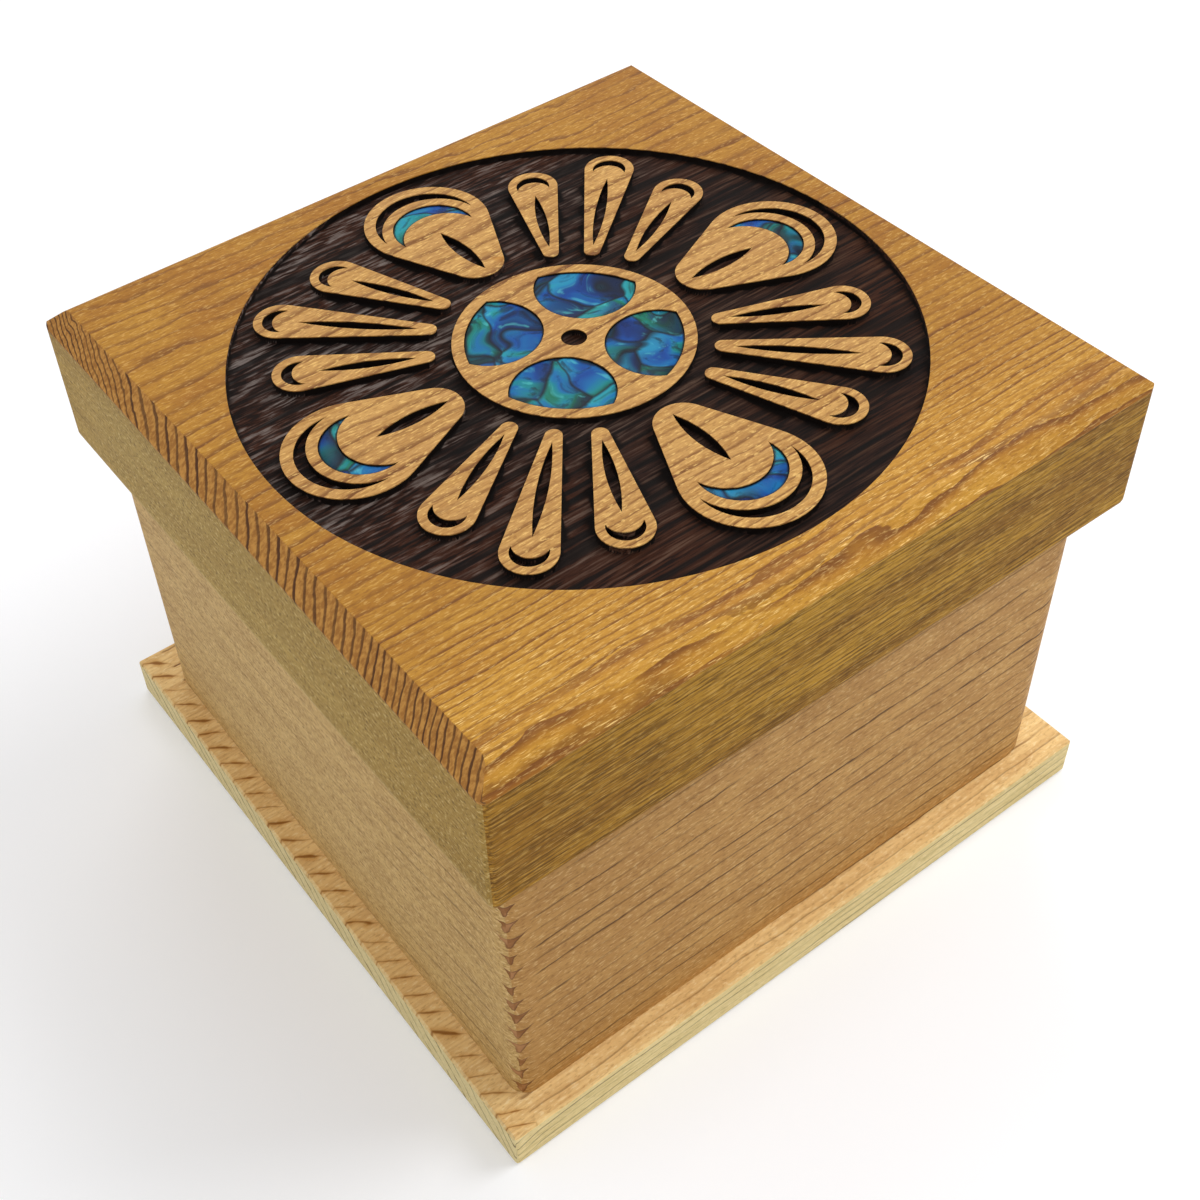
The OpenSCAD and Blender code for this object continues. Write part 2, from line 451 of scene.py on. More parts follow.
# %% [markdown]
# At the closed corner the round-over cuts through the rings and bares dark wood: a row of small
# brown tulips, each with its own height, width and lean. They could be painted on an image, but a
# formula in cells up the corner needs no map of the surface, and each cell has its random numbers.

# %% Marks on the corner
TULIP_PITCH = 4.7 * MM
TULIP_WIDTH = 5.2 * MM
TULIP_LEAN = 2.4 * MM


def tulips(kit, x, y, z):
    """The dark marks up the closed corner, from 0 to 1, and how near a point is to their outline."""
    ragged = fibres((x, y, z), length=2.2 * MM, width=2.2 * MM, detail=2.0, seed=12.0) - 0.5
    cell = (z + ragged * (1.2 * MM)) / TULIP_PITCH
    small, lean, low = [ring_chance(cell, seed) for seed in (21.0, 34.0, 55.0)]
    size = 1.0 - 0.72 * small
    up = (cell.math("FRACT", cell) - 0.12 * low) / (0.58 + 0.36 * size)
    aside = x - y + (lean - 0.5) * up * TULIP_LEAN + ragged * (2.0 * MM)
    share = abs(aside) / (size * TULIP_WIDTH)
    cup = kit.math("SQRT", up.most(0.0)) * 0.5
    inside = cup + 0.5 * kit.math("POWER", up.most(0.0), 4.0) - share
    under = 0.72 + 0.28 * share - up
    room = inside.least(under * 1.4).least(up)
    outline = room.step(0.18, 0.05) * (0.4 + 0.6 * aside.step(-1 * MM, 1.5 * MM))
    return room.step(0.0, 0.08), outline


print("tulips every", TULIP_PITCH, "m up the corner")

# %% [markdown]
# The plank's wood is laid on in layers, from broad to fine: a colour that darkens towards the closed
# corner as painted shade, clouds, streaks, short fibres painted light where they would glint or dark
# where they would lie in shade, then the rings and the tulips. Each layer is one Mix node with its
# own mask, so a layer can be changed without the others.

# %% Plank
PLANK_RING = 4.1 * MM
PLANK_RISE = 9 * MM
RISE_SPAN = 0.9 * PLANK_HALF
PLANK_SHADE = 62 * MM
LINE_STOP = (7 * MM, 4 * MM)
TULIP_REACH = (10 * MM, 8 * MM)
PLANK_EASE = 0.5 * MM
OUTWARD = 0.3


def plank_wood(kit):
    x, y, z = kit.node("ShaderNodeTexCoord", out="Object").split()
    along, depth, left = strip(x, y, PLANK_HALF)
    grain = (along, z, depth)
    wander = fibres(grain, length=70 * MM, width=16 * MM, detail=2.0) * (4.0 * MM)
    fine = fibres(grain, length=8 * MM, width=2.5 * MM, seed=3.0) * (1.4 * MM)
    rise = along.step(PLANK_LENGTH - RISE_SPAN, PLANK_LENGTH)
    ring = (z + wander + fine - rise * PLANK_RISE) / PLANK_RING
    line = ring_line(ring, 0.82, 0.93, 0.985) * (0.35 + 0.65 * ring_chance(ring, 4.0))
    line = line * fibres(grain, length=16 * MM, width=1.6 * MM, seed=7.0).step(0.36, 0.54)
    from_corner = x + y + 2 * PLANK_HALF
    line = line * (1.0 - from_corner.step(*LINE_STOP))
    streak = fibres(grain, length=12 * MM, width=0.8 * MM, detail=4.0, seed=1.0)
    mottle = fibres(grain, length=10 * MM, width=5 * MM, detail=4.0, seed=5.0)
    painted_glint, painted_shade, short = shimmer(grain, length=1.5 * MM, width=0.5 * MM, seed=9.0)
    wood = left.mix(paint(198, 152, 88), paint(202, 168, 108))
    # Painted shade: the colour darkens towards the closed corner.
    corner_painted_shade = from_corner.step(PLANK_SHADE, 0.0)
    wood = (corner_painted_shade * 0.5).mix(wood, left.mix(paint(170, 124, 62), paint(182, 144, 80)))
    wood = (mottle.step(0.38, 0.62) * 0.5).mix(wood, left.mix(paint(168, 120, 62), paint(170, 134, 78)))
    dark = left.mix(paint(144, 98, 46), paint(150, 114, 60))
    wood = (streak.step(0.42, 0.64) * (0.3 - 0.2 * left)).mix(wood, dark)
    grit = fibres(grain, length=0.9 * MM, width=0.7 * MM, detail=2.0, seed=10.0)
    wood = (grit.step(0.45, 0.33) * 0.6 * left).mix(wood, paint(128, 96, 48))
    wood = (grit.step(0.55, 0.67) * 0.5 * left).mix(wood, paint(228, 200, 144))
    # Painted highlights and painted shade on short fibres.
    wood = (painted_glint * 0.45).mix(wood, paint(228, 196, 138))
    wood = (painted_shade * 0.5).mix(wood, paint(124, 84, 38))
    wood = (line * (0.95 - 0.65 * left + 0.35 * rise)).mix(wood, paint(80, 48, 20))
    mark, outline = tulips(kit, x, y, z)
    mark = mark * from_corner.step(*TULIP_REACH)
    bared = mottle.step(0.4, 0.6).mix(paint(132, 82, 36), paint(172, 122, 76))
    wood = (mark * 0.95).mix(wood, bared)
    wood = (mark * outline * 0.8).mix(wood, paint(84, 50, 24))
    rough = 0.56 + 0.14 * streak
    height = streak * 0.6 + short * 0.8 - line * 0.6 - mark * 0.5
    return skin(wood, rough, height, 0.1 * MM, {"Specular IOR Level": 0.2})


def strip_edge(edge):
    """True for the long level edges of a bent strip, and not for the kerfs and the glue line."""
    wall = min(edge.link_faces, key=lambda f: abs(f.normal.z))
    out = wall.calc_center_median().xy.normalized().dot(wall.normal.xy)
    square_on = max(abs(wall.normal.x), abs(wall.normal.y)) > SQUARE
    level = abs(edge.verts[0].co.z - edge.verts[1].co.z) < WELD
    return level and (out > OUTWARD or square_on)


plank_cedar = surface("plank_cedar", plank_wood)
shape = welded("side_plank")
glued(shape)
ease(shape, PLANK_EASE, strip_edge)
dressed(finished(shape, "bent_plank", plank_cedar), "side_plank", "box")

# %% [markdown]
# The base board is paler wood, sawn so that its rings dip from back to front. They cross its top
# as lines along the board, crowd together along its front, run along its edge, slant over its
# end, and show as short brown ticks on the ledge beside the left wall. The count is a tilted plane
# with a slow wander, and the slopes change from one part to the next.

# %% Base board
BASE_RING = 2.4 * MM
TICK_SLANT = 0.34
FRONT_CROWD = 0.3
END_STRETCH = 0.5
BASE_DIP = 0.48
LEDGE_BLUR = 0.5 * MM
BASE_EASE = 0.45 * MM
PEG_CLEAR = 2.2 * MM


def centres(node):
    """The middle of each separate solid in a node, seen from above, from left to right."""
    shape = welded(node)
    todo = set(shape.verts)
    found = []
    while todo:
        group = [todo.pop()]
        for vert in group:
            fresh = {e.other_vert(vert) for e in vert.link_edges} & todo
            todo -= fresh
            group.extend(fresh)
        found.append(sum((v.co for v in group), Vector()).xy / len(group))
    shape.free()
    return sorted(found, key=lambda p: (round(p.x / MM), round(p.y / MM)))


def base_wood(kit):
    x, y, z = kit.node("ShaderNodeTexCoord", out="Object").split()
    normal = kit.node("ShaderNodeTexCoord", out="Normal").split()
    grain = (x, y, z)
    wander = fibres(grain, length=60 * MM, width=16 * MM, seed=2.0) * (3.4 * MM)
    wander = wander + fibres(grain, length=9 * MM, width=4 * MM, detail=2.0, seed=13.0) * (0.9 * MM)
    ledge = -PLANK_HALF - x
    end = abs(normal[0]).step(0.4, 0.8)
    level = z + (plank_low.z - z) * END_STRETCH * end
    front = (y + PLANK_HALF).least(0.0) * FRONT_CROWD
    ring = (level - y * BASE_DIP - front + wander + ledge.most(0.0) * TICK_SLANT) / BASE_RING
    chance = ring_chance(ring, 11.0)
    side = normal[2].step(0.75, 0.35)
    on_ledge = ledge.step(-LEDGE_BLUR, LEDGE_BLUR) * (1.0 - side)
    across = ledge / (base_high.x - PLANK_HALF)
    uneven = fibres(grain, length=3 * MM, width=3 * MM, detail=2.0, seed=16.0).step(0.3, 0.6)
    swell = across.step(0.0, 0.5) * (1.3 - 0.8 * across)
    swell = swell * (0.25 + 0.75 * chance) * (0.4 + 0.6 * uneven)
    off_line = abs(ring.math("FRACT", ring) - 0.7)
    tick = (0.14 * swell - off_line).step(-0.04, 0.07) * on_ledge
    tick_glow = (0.34 * swell - off_line).step(-0.16, 0.2) * on_ledge
    soft = ring_line(ring, 0.66, 0.95) * (0.3 + 0.7 * chance)
    core = ring_line(ring, 0.87 - 0.05 * side, 0.93 - 0.04 * side, 0.985) * (0.45 + 0.55 * chance)
    broken = fibres(grain, length=26 * MM, width=2 * MM, seed=6.0).step(0.34, 0.54)
    streak = fibres(grain, length=18 * MM, width=0.8 * MM, detail=4.0, seed=1.0)
    mottle = fibres(grain, length=14 * MM, width=5 * MM, detail=4.0, seed=8.0)
    painted_glint, painted_shade, short = shimmer(grain, length=1.6 * MM, width=0.5 * MM, seed=9.0)
    # The side faces take paler, yellower copies of every colour: partly the edge grain's own colour,
    # partly painted light from the paper.
    wood = side.mix(paint(242, 206, 142), paint(238, 216, 156))
    wood = (mottle.step(0.38, 0.64) * 0.5).mix(wood, side.mix(paint(220, 176, 112), paint(220, 196, 132)))
    wood = (streak.step(0.42, 0.66) * 0.4).mix(wood, side.mix(paint(192, 142, 84), paint(194, 172, 110)))
    # Painted highlights and painted shade on short fibres.
    wood = (painted_glint * 0.45).mix(wood, paint(252, 230, 180))
    wood = (painted_shade * 0.4).mix(wood, side.mix(paint(172, 122, 64), paint(180, 158, 98)))
    # Painted light: the end faces are paler and greener, as light from the paper would make them.
    wood = (end * 0.35).mix(wood, paint(200, 190, 146))
    wood = (soft * 0.4 * (1.0 - 0.5 * side) * (1.0 - on_ledge)).mix(
        wood, side.mix(paint(162, 108, 44), paint(176, 152, 94)))
    wood = (tick_glow * 0.55).mix(wood, paint(200, 138, 50))
    wood = (tick * 0.85).mix(wood, paint(130, 78, 18))
    faint = 1.0 - 0.45 * y.step(-PLANK_HALF, -PLANK_HALF - MARGIN) * (1.0 - side)
    core = core * (broken * 0.85 + 0.1) * (1.0 - on_ledge) * faint
    wood = core.mix(wood, side.mix(paint(104, 62, 22), paint(92, 70, 38)))
    rough = 0.56 + 0.12 * streak
    height = streak * 0.5 + short * 0.8 - core * 0.4
    return skin(wood, rough, height, 0.09 * MM, {"Specular IOR Level": 0.2})


peg_places = centres("base_pegs")


def clear_of_pegs(edge):
    """True for an edge that isn't the mouth of a peg hole."""
    middle = (edge.verts[0].co + edge.verts[1].co).xy / 2
    return min((middle - p).length for p in peg_places) > PEG_CLEAR


base_cedar = surface("base_cedar", base_wood)
shape = welded("base_board")
ease(shape, BASE_EASE, clear_of_pegs)
dressed(finished(shape, "base_slab", base_cedar), "base_board", "box")

# %% [markdown]
# Eight pegs hold the base to the plank from beneath. Each is whittled to a few facets, sawn flush
# below and tapered where it enters the wood. One peg drawn by Geometry Nodes is set on eight
# points, each with its own turn, which is quicker to change than eight meshes.

# %% Base pegs
PEG_SIDES = 11
PEG_STEPS = 6
PEG_TAPER = 0.2
PEG_SEED = 5
peg_low, peg_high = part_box("base_pegs")


def peg_wood(kit):
    x, y, z = kit.node("ShaderNodeTexCoord", out="Object").split()
    grain = (z, x, y)
    ring = fibres(grain, length=60 * MM, width=0.9 * MM, detail=2.0, seed=1.0) * 4.0
    line = ring_line(ring, 0.5, 0.9)
    pore = fibres(grain, length=12 * MM, width=0.18 * MM, detail=2.0, seed=4.0)
    wood = line.mix(paint(186, 138, 84), paint(126, 84, 46))
    wood = (pore.step(0.58, 0.7) * 0.6).mix(wood, paint(92, 58, 32))
    return skin(wood, 0.55 + 0.15 * pore, pore - line * 0.5, 0.05 * MM, {"Specular IOR Level": 0.2})


def grown(name, sockets):
    """A Geometry Nodes tree with a geometry and the named inputs, its kit and their wires."""
    tree = bpy.data.node_groups.new(name, "GeometryNodeTree")
    tree.interface.new_socket("Geometry", in_out="INPUT", socket_type="NodeSocketGeometry")
    for label, kind in sockets.items():
        tree.interface.new_socket(label, in_out="INPUT", socket_type="NodeSocket" + kind)
    tree.interface.new_socket("Geometry", in_out="OUTPUT", socket_type="NodeSocketGeometry")
    kit = Wire(tree)
    start = tree.nodes.new("NodeGroupInput")
    return kit, [Wire(tree, socket) for socket in start.outputs][:-1]


def settle(piece, kit, values):
    """Runs a tree on a piece with these input values, and keeps the result as a plain mesh."""
    grow = piece.modifiers.new("grow", "NODES")
    grow.node_group = kit.tree
    for socket in kit.tree.interface.items_tree:
        if socket.in_out == "INPUT" and socket.name in values:
            grow[socket.identifier] = values[socket.name]
    bpy.context.view_layer.update()
    seen = piece.evaluated_get(bpy.context.evaluated_depsgraph_get())
    piece.data = bpy.data.meshes.new_from_object(seen)
    piece.modifiers.remove(grow)


peg_cedar = surface("peg_wood", peg_wood)
kit, (points, radius, length, taper, seed, coat) = grown("whittled_pegs", {
    "Radius": "Float", "Length": "Float", "Taper": "Float", "Seed": "Int", "Wood": "Material"})
peg = kit.node("GeometryNodeMeshCylinder", {"Vertices": PEG_SIDES, "Side Segments": PEG_STEPS,
                                            "Radius": radius, "Depth": length}, fill_type="NGON")
x, y, z = kit.node("GeometryNodeInputPosition").split()
slim = 1.0 - taper * (z / length).step(0.3, 0.5)
peg = kit.node("GeometryNodeSetPosition", {
    "Geometry": peg, "Position": kit.vector(x * slim, y * slim, z + length / 2)})
turn = kit.node("FunctionNodeRandomValue", {2: 0.0, 3: math.tau, "Seed": seed}, 1, data_type="FLOAT")
pegs = kit.node("GeometryNodeInstanceOnPoints", {
    "Points": points, "Instance": peg, "Rotation": kit.vector(0.0, 0.0, turn)})
pegs = kit.node("GeometryNodeRealizeInstances", {0: pegs})
pegs = kit.node("GeometryNodeSetMaterial", {"Geometry": pegs, "Material": coat})
kit.node("NodeGroupOutput", {0: pegs})

dots = bpy.data.meshes.new("base_pins")
dots.from_pydata([(*p, peg_low.z) for p in peg_places], [], [])
pins = linked("base_pins", dots)
peg_radius = peg_high.x - max(p.x for p in peg_places)
settle(pins, kit, {"Radius": peg_radius, "Length": peg_high.z - peg_low.z, "Taper": PEG_TAPER,
                   "Seed": PEG_SEED, "Wood": peg_cedar})
dressed(pins, "base_pegs", "box")

# %% [markdown]
# The rim is a thinner strip bent like the plank, of browner and closer-grown wood. One wall of it
# shows dense straight lines, and the next one turns to a calm, mottled olive face. Hands have worn
# the lower edge round, so it is eased more than the others. On the calm face that rounding is
# painted paler as a highlight, the wood is painted darker towards the closed corner as shade, and
# short fibres are painted light or dark as glints and shade.

# %% Lid rim
RIM_HALF = rim_high.x
RIM_RING = 1.15 * MM
RIM_SHADE = 65 * MM
RIM_EASE = 0.35 * MM
RIM_WORN = 1.5 * MM
EDGE_HIGHLIGHT_FADE = (2.4 * MM, 0.6 * MM)


def rim_wood(kit):
    x, y, z = kit.node("ShaderNodeTexCoord", out="Object").split()
    along, depth, calm = strip(x, y, RIM_HALF)
    grain = (along, z, depth)
    wander = fibres(grain, length=60 * MM, width=9 * MM, seed=1.0) * (4.0 * MM)
    ring = (z + depth * 0.6 + wander) / RIM_RING
    line = ring_line(ring, 0.45, 0.9) * (0.2 + 0.8 * ring_chance(ring, 2.0))
    broken = fibres(grain, length=14 * MM, width=1.2 * MM, seed=7.0).step(0.36, 0.56)
    band = fibres(grain, length=90 * MM, width=7 * MM, seed=4.0)
    streak = fibres(grain, length=12 * MM, width=0.45 * MM, detail=4.0, seed=1.0)
    bright = fibres(grain, length=10 * MM, width=0.6 * MM, seed=6.0)
    grit = fibres(grain, length=0.9 * MM, width=0.6 * MM, detail=2.0, seed=9.0)
    painted_glint, painted_shade, short = shimmer(grain, length=2.4 * MM, width=0.4 * MM, seed=8.0)
    wood = calm.mix(paint(186, 139, 44), paint(176, 147, 80))
    # Painted shade: the colour darkens towards the closed corner.
    corner_painted_shade = (x + y + 2 * RIM_HALF).step(RIM_SHADE, 0.0)
    wood = (corner_painted_shade * 0.6).mix(wood, calm.mix(paint(152, 104, 26), paint(158, 122, 54)))
    dark = calm.mix(paint(132, 88, 22), paint(142, 110, 48))
    wood = (band.step(0.4, 0.62) * (0.75 - 0.35 * calm)).mix(wood, dark)
    wood = (line * broken * (0.7 - 0.55 * calm)).mix(wood, paint(84, 52, 16))
    deep = calm.mix(paint(88, 56, 12), paint(126, 100, 46))
    wood = (streak.step(0.46, 0.6) * (0.72 - 0.47 * calm)).mix(wood, deep)
    wood = (bright.step(0.54, 0.68) * (0.55 - 0.3 * calm)).mix(wood, paint(210, 164, 76))
    # Painted shade and painted highlights on short fibres.
    wood = (painted_shade * (0.6 - 0.4 * calm)).mix(wood, paint(94, 62, 20))
    wood = (painted_glint * (0.4 - 0.2 * calm)).mix(wood, paint(214, 176, 98))
    wood = (grit.step(0.46, 0.34) * 0.75 * calm).mix(wood, paint(104, 82, 38))
    wood = (grit.step(0.54, 0.66) * 0.55 * calm).mix(wood, paint(214, 190, 130))
    # Painted highlight: the rounded lower edge of the calm face is painted paler.
    edge_highlight = (z - rim_low.z).step(*EDGE_HIGHLIGHT_FADE) * calm
    wood = (edge_highlight * 0.5).mix(wood, paint(206, 178, 122))
    rough = 0.54 + 0.14 * streak
    height = streak * 0.5 + short * 0.6 + grit * 0.6 - line * broken * 0.4
    return skin(wood, rough, height, 0.1 * MM, {"Specular IOR Level": 0.12})


def low_edge(edge):
    """True for the rim's lower outer edge, which hands and years have rounded."""
    low = max(v.co.z for v in edge.verts) < rim_low.z + WELD
    outer = max(max(abs(v.co.x), abs(v.co.y)) for v in edge.verts) > RIM_HALF - MARGIN
    return low and outer and strip_edge(edge)


rim_cedar = surface("rim_cedar", rim_wood)
shape = welded("lid_rim")
glued(shape)
ease(shape, RIM_WORN, low_edge)
ease(shape, RIM_EASE, lambda edge: strip_edge(edge) and edge.verts[0].co.z < rim_low.z + WELD)
dressed(finished(shape, "bent_rim", rim_cedar), "lid_rim", "lid")

# %% [markdown]
# The lid is closed by a thick board with bevelled edges. Its medallion is a shallow disc with a
# raised design. The looks need the level and the radius of the disc's ground. They could be written
# down as numbers, but they are measured on the solid, so that they follow it when it changes.

# %% Top board
TOP_Z = board_high.z
LEVEL_STEP = 0.01 * MM
LEAST_RELIEF = 0.5 * MM


def face_levels(shape):
    """Area of the level upward faces at each height, in steps of LEVEL_STEP."""
    found = {}
    for face in shape.faces:
        if face.normal.z > SQUARE:
            level = round(face.calc_center_median().z / LEVEL_STEP)
            found[level] = found.get(level, 0.0) + face.calc_area()
    return {level * LEVEL_STEP: area for level, area in found.items()}


shape = welded("lid_board")
levels = face_levels(shape)
GROUND_Z = max((z for z in levels if z < TOP_Z - LEAST_RELIEF), key=lambda z: levels[z])
level_faces = [f for f in shape.faces if f.normal.z > SQUARE]
ground = [f for f in level_faces if abs(f.calc_center_median().z - GROUND_Z) < 2 * LEVEL_STEP]
MEDALLION_R = max(v.co.xy.length for f in ground for v in f.verts)
print("medallion radius", round(MEDALLION_R, 4), "ground", round(GROUND_Z, 4))

# %% [markdown]
# The ground of the medallion is burnt: brown black, in rows along the grain, with grey strokes that
# are partly ash and partly painted sheen, greyer and stronger towards the back left. One noise would
# look like sprayed dots, so a set of short wavy strokes is blended into a set of long straight ones,
# and the gaps between the rows stay black.

# %% Burnt ground
ASH_AND_SHEEN_FADE = (-70 * MM, 60 * MM)


def charred(x, y, z, upward):
    """The burnt ground: brown black, in rows along the grain, with short grey strokes of ash and painted
    sheen.
    """
    grain = (x, y, z)
    row = fibres(grain, length=55 * MM, width=1.5 * MM, seed=8.0)
    ember = fibres(grain, length=40 * MM, width=20 * MM, seed=9.0)
    grey = (y - x).step(*ASH_AND_SHEEN_FADE)
    wavy = (x, y + row * (1.5 * MM), z)
    short = fibres(wavy, length=5.0 * MM, width=0.65 * MM, detail=5.0, seed=7.0)
    long = fibres(grain, length=9.0 * MM, width=0.5 * MM, detail=5.0, seed=7.0)
    ash = grey * short + (1.0 - grey) * long
    char = ember.step(0.4, 0.62).mix(paint(36, 21, 16), paint(54, 28, 16))
    char = (row.step(0.5, 0.4) * 0.9).mix(char, paint(11, 7, 6))
    # Grey strokes, partly ash and partly painted sheen, stronger on the row tops and towards the back
    # left.
    ash_and_sheen = ash.step(0.47, 0.64) * (0.1 + 0.9 * row.step(0.42, 0.58)) * (0.12 + 0.4 * grey)
    char = ash_and_sheen.mix(char, grey.mix(paint(146, 112, 86), paint(150, 140, 134)))
    char = (ash.step(0.48, 0.4) * 0.85).mix(char, paint(8, 5, 4))
    char = upward.step(0.85, 0.4).mix(char, paint(14, 8, 6))
    return skin(char, 0.62 + 0.2 * ash, row + ash, 0.16 * MM, {"Specular IOR Level": 0.08})


print("burnt ground", round((TOP_Z - GROUND_Z) / MM, 2), "mm below the top")

# %% [markdown]
# The top board was sawn well off the middle of its tree, so its rings are arcs round a pith that
# lies below and behind it. They cross the top as fine lines, and stand as dark strokes on the end
# grain of the left bevel. Slow years crowd them together. Along the front the saw ran almost with
# the rings, so they leave wide arcs there. The front is painted brighter as sheen, with painted
# highlights in short flecks, the right-hand part is painted darker as shade, and short fibres are
# painted light or dark as glints and shade. The raised design is sanded paler and has more painted
# glints, and a mask of the disc below the top swaps satin wood for burnt wood.

# %% Satin top
PITH_Y = 93.0 * MM
PITH_Z = -37.0 * MM
TOP_RING = 1.75 * MM
FLAME_RING = 5.4 * MM
FLAME_WAVE = 15 * MM
FLAME_START = (58 * MM, 66 * MM)
SHEEN_FRONT = (-36 * MM, -62 * MM)
SHEEN_RIGHT = (66 * MM, 25 * MM)
RIGHT_SHADE = (10 * MM, 66 * MM)
SLOW_YEARS = ((143 * MM, 157 * MM, 8.0), (192 * MM, 224 * MM, 6.5))
CARVED_DEPTH = 3 * MM
SCORCH_DEPTH = (0.1 * MM, 0.25 * MM)
SCORCH_EDGE = (0.6 * MM, 0.3 * MM)


def top_wood(kit):
    x, y, z = kit.node("ShaderNodeTexCoord", out="Object").split()
    normal = kit.node("ShaderNodeTexCoord", out="Normal").split()
    grain = (x, y, z)
    wave = fibres(grain, length=60 * MM, width=30 * MM, detail=2.0, seed=1.0) * (4.0 * MM)
    wave = wave + fibres(grain, length=12 * MM, width=4 * MM, seed=2.0) * (1.3 * MM)
    behind = y - PITH_Y
    above = z - PITH_Z
    from_pith = kit.math("SQRT", behind * behind + above * above) + wave
    ring = from_pith / TOP_RING
    for inner, outer, years in SLOW_YEARS:
        ring = ring + years * from_pith.step(inner, outer)
    chance = ring_chance(ring, 6.0)
    end = abs(normal[0]).step(0.3, 0.6)
    soft = ring_line(ring, 0.3, 0.95) * (0.25 + 0.75 * chance)
    thin = ring_line(ring, 0.62, 0.88, 0.975) * (0.5 + 0.5 * chance)
    fading = fibres(grain, length=22 * MM, width=2.4 * MM, seed=3.0).step(0.36, 0.6)
    sharp = ring_line(ring, 0.62, 0.78, 0.97) * (0.7 + 0.3 * chance)
    unrolled = TOP_Z - z - y
    flame = (x, unrolled, 0.0)
    bend = fibres(flame, length=36 * MM, width=16 * MM, detail=2.0, seed=10.0) * FLAME_WAVE
    bend = bend + fibres(flame, length=7 * MM, width=3 * MM, seed=11.0) * (1.4 * MM)
    arc = (bend - unrolled) / FLAME_RING
    patchy = fibres(grain, length=30 * MM, width=9 * MM, detail=2.0, seed=14.0).step(0.36, 0.5)
    near_edge = unrolled.step(*FLAME_START) * patchy
    lens = ring_line(arc, 0.3, 0.95, 0.975) * near_edge
    tip = ring_line(arc, 0.62, 0.93, 0.975) * near_edge
    streak = fibres(grain, length=16 * MM, width=0.7 * MM, detail=4.0, seed=4.0)
    painted_glint, painted_shade, short = shimmer(grain, length=1.6 * MM, width=0.38 * MM, seed=5.0)
    # Where the front is painted brighter as sheen and carries painted highlight flecks, most at its
    # right.
    sheen_zone = y.step(*SHEEN_FRONT) * (0.55 + 0.45 * x.step(*SHEEN_RIGHT))
    fleck = fibres(grain, length=2.2 * MM, width=0.22 * MM, detail=2.0, seed=15.0)
    painted_flecks = fleck.step(0.57, 0.69) * sheen_zone
    mottle = fibres(grain, length=20 * MM, width=7 * MM, detail=4.0, seed=6.0)
    wood = mottle.step(0.38, 0.64).mix(paint(179, 128, 40), paint(160, 106, 26))
    # Painted shade: the right-hand part of the top is darker.
    wood = (x.step(*RIGHT_SHADE) * 0.25).mix(wood, paint(146, 94, 22))
    # Painted sheen: the front is brighter.
    wood = (sheen_zone * 0.5).mix(wood, paint(218, 162, 58))
    reach = kit.math("SQRT", x * x + y * y)
    carved_side = z.step(TOP_Z - CARVED_DEPTH - MARGIN, TOP_Z - CARVED_DEPTH)
    sanded = reach.step(MEDALLION_R, MEDALLION_R - MARGIN) * carved_side
    wood = (sanded * 0.6).mix(wood, paint(206, 160, 98))
    wood = (streak.step(0.42, 0.64) * 0.35).mix(wood, paint(140, 88, 20))
    wood = (soft * fading * 0.6).mix(wood, paint(136, 80, 16))
    wood = (thin * (0.45 + 0.55 * fading) * 0.95).mix(wood, paint(104, 58, 10))
    # Painted shade on short fibres.
    wood = (painted_shade * 0.4).mix(wood, paint(118, 70, 14))
    wood = (lens * 0.7).mix(wood, paint(156, 94, 24))
    wood = (tip * 0.85).mix(wood, paint(112, 64, 14))
    # Painted highlights on short fibres, stronger on the raised design.
    wood = (painted_glint * (0.28 + 0.3 * sanded)).mix(wood, paint(240, 196, 116))
    # Painted highlights: short bright flecks on the front.
    wood = (painted_flecks * (0.7 - 0.4 * lens)).mix(wood, paint(255, 216, 136))
    cut_end = streak.step(0.36, 0.62).mix(paint(192, 138, 66), paint(158, 106, 46))
    cut_end = (sharp * 0.95).mix(cut_end, paint(62, 30, 10))
    wood = end.mix(wood, cut_end)
    rough = 0.46 + 0.2 * streak - 0.12 * painted_flecks + end * 0.15
    height = streak * 0.6 + short * 1.0
    satin = skin(wood, rough, height, 0.12 * MM, {"Specular IOR Level": 0.25})
    burnt = (reach - MEDALLION_R).step(*SCORCH_EDGE)
    burnt = burnt * carved_side * (TOP_Z - z).step(*SCORCH_DEPTH)
    char = charred(x, y, z, normal[2])
    return kit.node("ShaderNodeMixShader", {0: burnt, 1: satin, 2: char})


top_cedar = surface("top_cedar", top_wood)

# %% [markdown]
# Fire eats the soft spring wood faster, so ridges stay along the grain of the burnt ground. Light
# from the side shows them, so they are real geometry. The ground is cut into narrow cells and
# marked with an attribute, and a Geometry Nodes tree then lifts the marked points by a noise that
# is drawn out along the grain.

# %% Burnt ridges
RIDGE_ROWS = 0.35 * MM
RIDGE_COLUMNS = 4 * MM
RIDGE_HEIGHT = 0.5 * MM
RIDGE_WIDTH = 1.1 * MM
RIDGE_LENGTH = 16 * MM
RIDGE_SEED = 3.0
END_EASE = 0.35 * MM
LONG_EASE = 0.8 * MM


def sliced(shape, faces, step_x, step_y):
    """Cuts faces into a grid of cells, so that they can be given relief, and returns them."""
    for axis, step in ((Vector((0, 1, 0)), step_y), (Vector((1, 0, 0)), step_x)):
        spots = [v.co.dot(axis) for f in faces for v in f.verts]
        for i in range(math.ceil(min(spots) / step), math.ceil(max(spots) / step)):
            edges = {e for f in faces for e in f.edges}
            verts = {v for f in faces for v in f.verts}
            cut = bmesh.ops.bisect_plane(shape, geom=[*faces, *edges, *verts], dist=WELD,
                                         plane_co=axis * i * step, plane_no=axis)
            faces = [g for g in cut["geom"] if isinstance(g, bmesh.types.BMFace)]
    return faces


